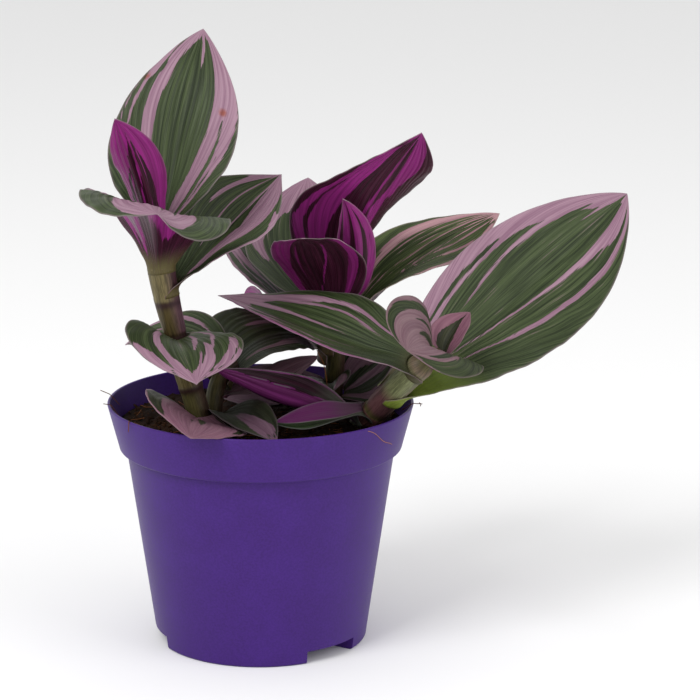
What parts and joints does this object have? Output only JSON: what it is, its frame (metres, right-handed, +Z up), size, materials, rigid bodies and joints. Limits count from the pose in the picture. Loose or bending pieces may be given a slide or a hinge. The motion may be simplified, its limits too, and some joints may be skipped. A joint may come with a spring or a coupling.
{
  "type": "potted tradescantia",
  "caption": "Striped pink and green tradescantia with clasping, pointed leaves on short stems, rooted in dark soil in a tapered purple plastic nursery pot.",
  "frame": {"origin": "centre of the pot's flat underside, on the surface it stands on", "axes": "+Z up through the middle of the pot, +X towards the largest leaf, -Y towards the side with the leaf that hangs over the rim"},
  "size_m": [0.2126, 0.1721, 0.2396],
  "materials": {
    "pot": "satin purple moulded plastic, a little darker inside, faint scuffs",
    "soil": "dark moist potting mix with brown coir fibres",
    "stem": "fleshy jointed stem, olive brown with a mauve flush",
    "leaf": "satin leaf, green centre with pink and mauve stripes, purple underneath",
    "young_leaf": "satin young leaf, seen from below magenta with dark purple stripes"
  },
  "bodies": {
    "root": {"pot": "pot", "soil": "soil", "stem_left": "stem", "stem_inner": "stem", "stem_middle": "stem", "stem_right": "stem", "leaf_left_top": "leaf", "leaf_left_young": "young_leaf", "leaf_left_arched": "leaf", "leaf_left_side": "leaf", "leaf_left_low": "leaf", "leaf_rim": "leaf", "leaf_inner_back": "leaf", "leaf_inner_side": "leaf", "leaf_floor": "leaf", "leaf_brown": "leaf", "leaf_middle_tall": "young_leaf", "leaf_middle_cupped": "young_leaf", "leaf_middle_folded": "young_leaf", "leaf_middle_right": "leaf", "leaf_middle_left": "leaf", "leaf_middle_under": "young_leaf", "leaf_middle_back": "leaf", "leaf_grey": "leaf", "leaf_small": "leaf", "leaf_striped": "leaf", "leaf_right_long": "leaf", "leaf_right_large": "leaf", "leaf_right_curled": "leaf", "leaf_right_bud": "leaf", "leaf_folded": "young_leaf", "leaf_crumpled": "leaf"}
  },
  "joints": []
}
